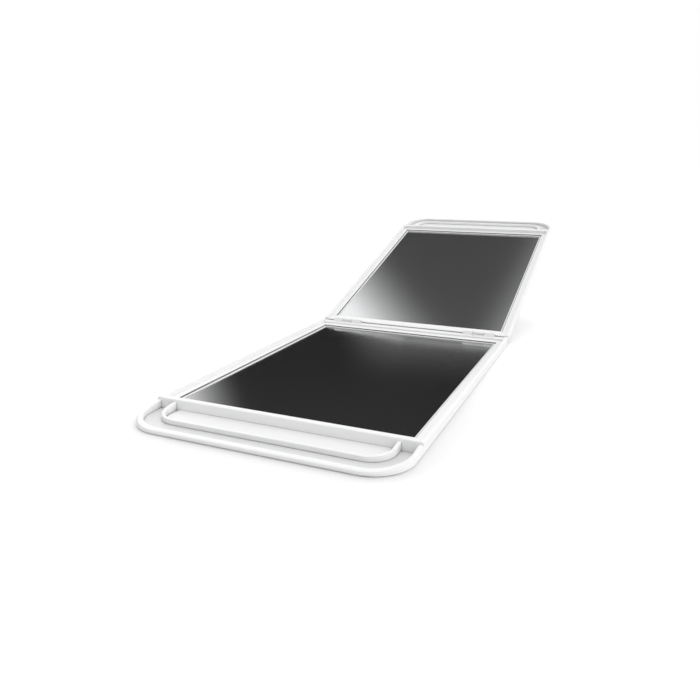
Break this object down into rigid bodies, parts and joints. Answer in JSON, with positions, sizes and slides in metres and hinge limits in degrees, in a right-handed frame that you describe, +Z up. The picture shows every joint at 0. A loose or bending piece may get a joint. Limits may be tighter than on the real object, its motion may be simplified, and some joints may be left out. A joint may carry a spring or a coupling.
{
  "type": "folding mirror",
  "caption": "White folding mirror: framed rectangular leaves on pin hinges, each with a shallow rimmed handle at its free end; folds face to face and holds any angle.",
  "frame": {"origin": "middle of the front leaf's underside, on the surface it rests on", "axes": "+Y from the front leaf's handle over the hinge to the rear leaf, +Z up, +X to the right seen from the front handle"},
  "size_m": [0.1644, 0.5058, 0.0786],
  "materials": {
    "white_plastic": "satin gloss",
    "bezel_plastic": "satin gloss",
    "mirror": "polished",
    "foam_tape": "foam",
    "pin_steel": "drawn"
  },
  "bodies": {
    "front_leaf": {"front_tray": "white_plastic", "front_backing_pad": "foam_tape", "front_mirror": "mirror", "front_bezel": "bezel_plastic", "left_hinge_pin": "pin_steel", "right_hinge_pin": "pin_steel"},
    "rear_leaf": {"rear_tray": "white_plastic", "rear_backing_pad": "foam_tape", "rear_mirror": "mirror", "rear_bezel": "bezel_plastic"}
  },
  "joints": [
    {"name": "fold_hinge", "type": "hinge", "parent": "front_leaf", "child": "rear_leaf", "pos_m": [0, 0.12945, 0.00725], "axis": [1, 0, 0], "range_deg": [-17.2, 162.8]}
  ]
}
